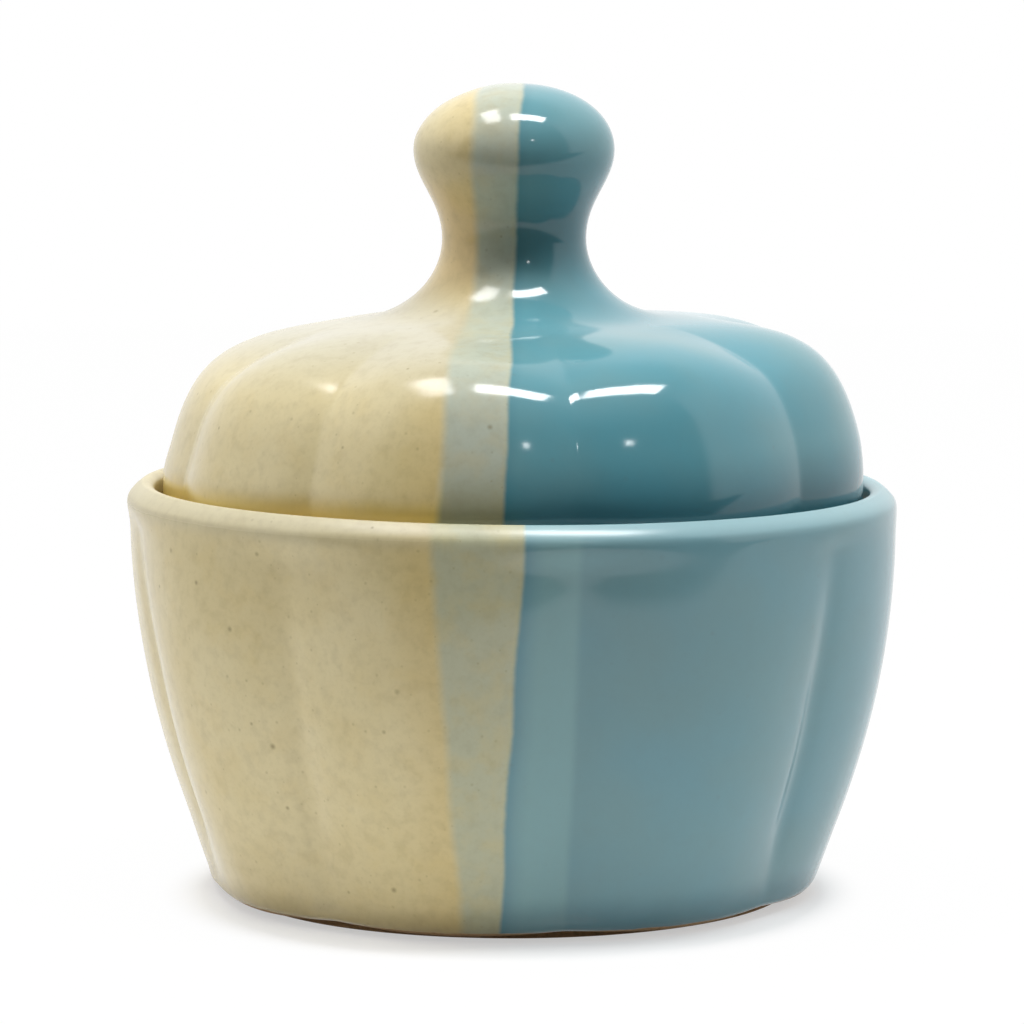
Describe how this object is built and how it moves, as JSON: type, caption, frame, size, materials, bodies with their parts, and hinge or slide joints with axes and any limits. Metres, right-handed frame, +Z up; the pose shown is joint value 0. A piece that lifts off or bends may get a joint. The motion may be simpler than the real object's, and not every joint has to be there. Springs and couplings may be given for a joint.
{
  "type": "storage jar",
  "caption": "Lobed stoneware storage jar with a lift-off domed lid, a round knob and a glossy speckled glaze in cream, sage and blue-grey.",
  "frame": {"origin": "centre of the foot ring, on the table", "axes": "+Z up along the jar's axis; -Y is the front as pictured; +X to the right of the front"},
  "size_m": [0.125, 0.125, 0.1311],
  "materials": {
    "bowl_glaze": "gloss",
    "lid_glaze": "gloss"
  },
  "bodies": {
    "bowl": {"bowl": "bowl_glaze"},
    "lid": {"lid": "lid_glaze"}
  },
  "joints": [
    {"name": "lid_lift", "type": "slide", "parent": "bowl", "child": "lid", "axis": [0, 0, 1], "range_m": [0, 0.08]}
  ]
}
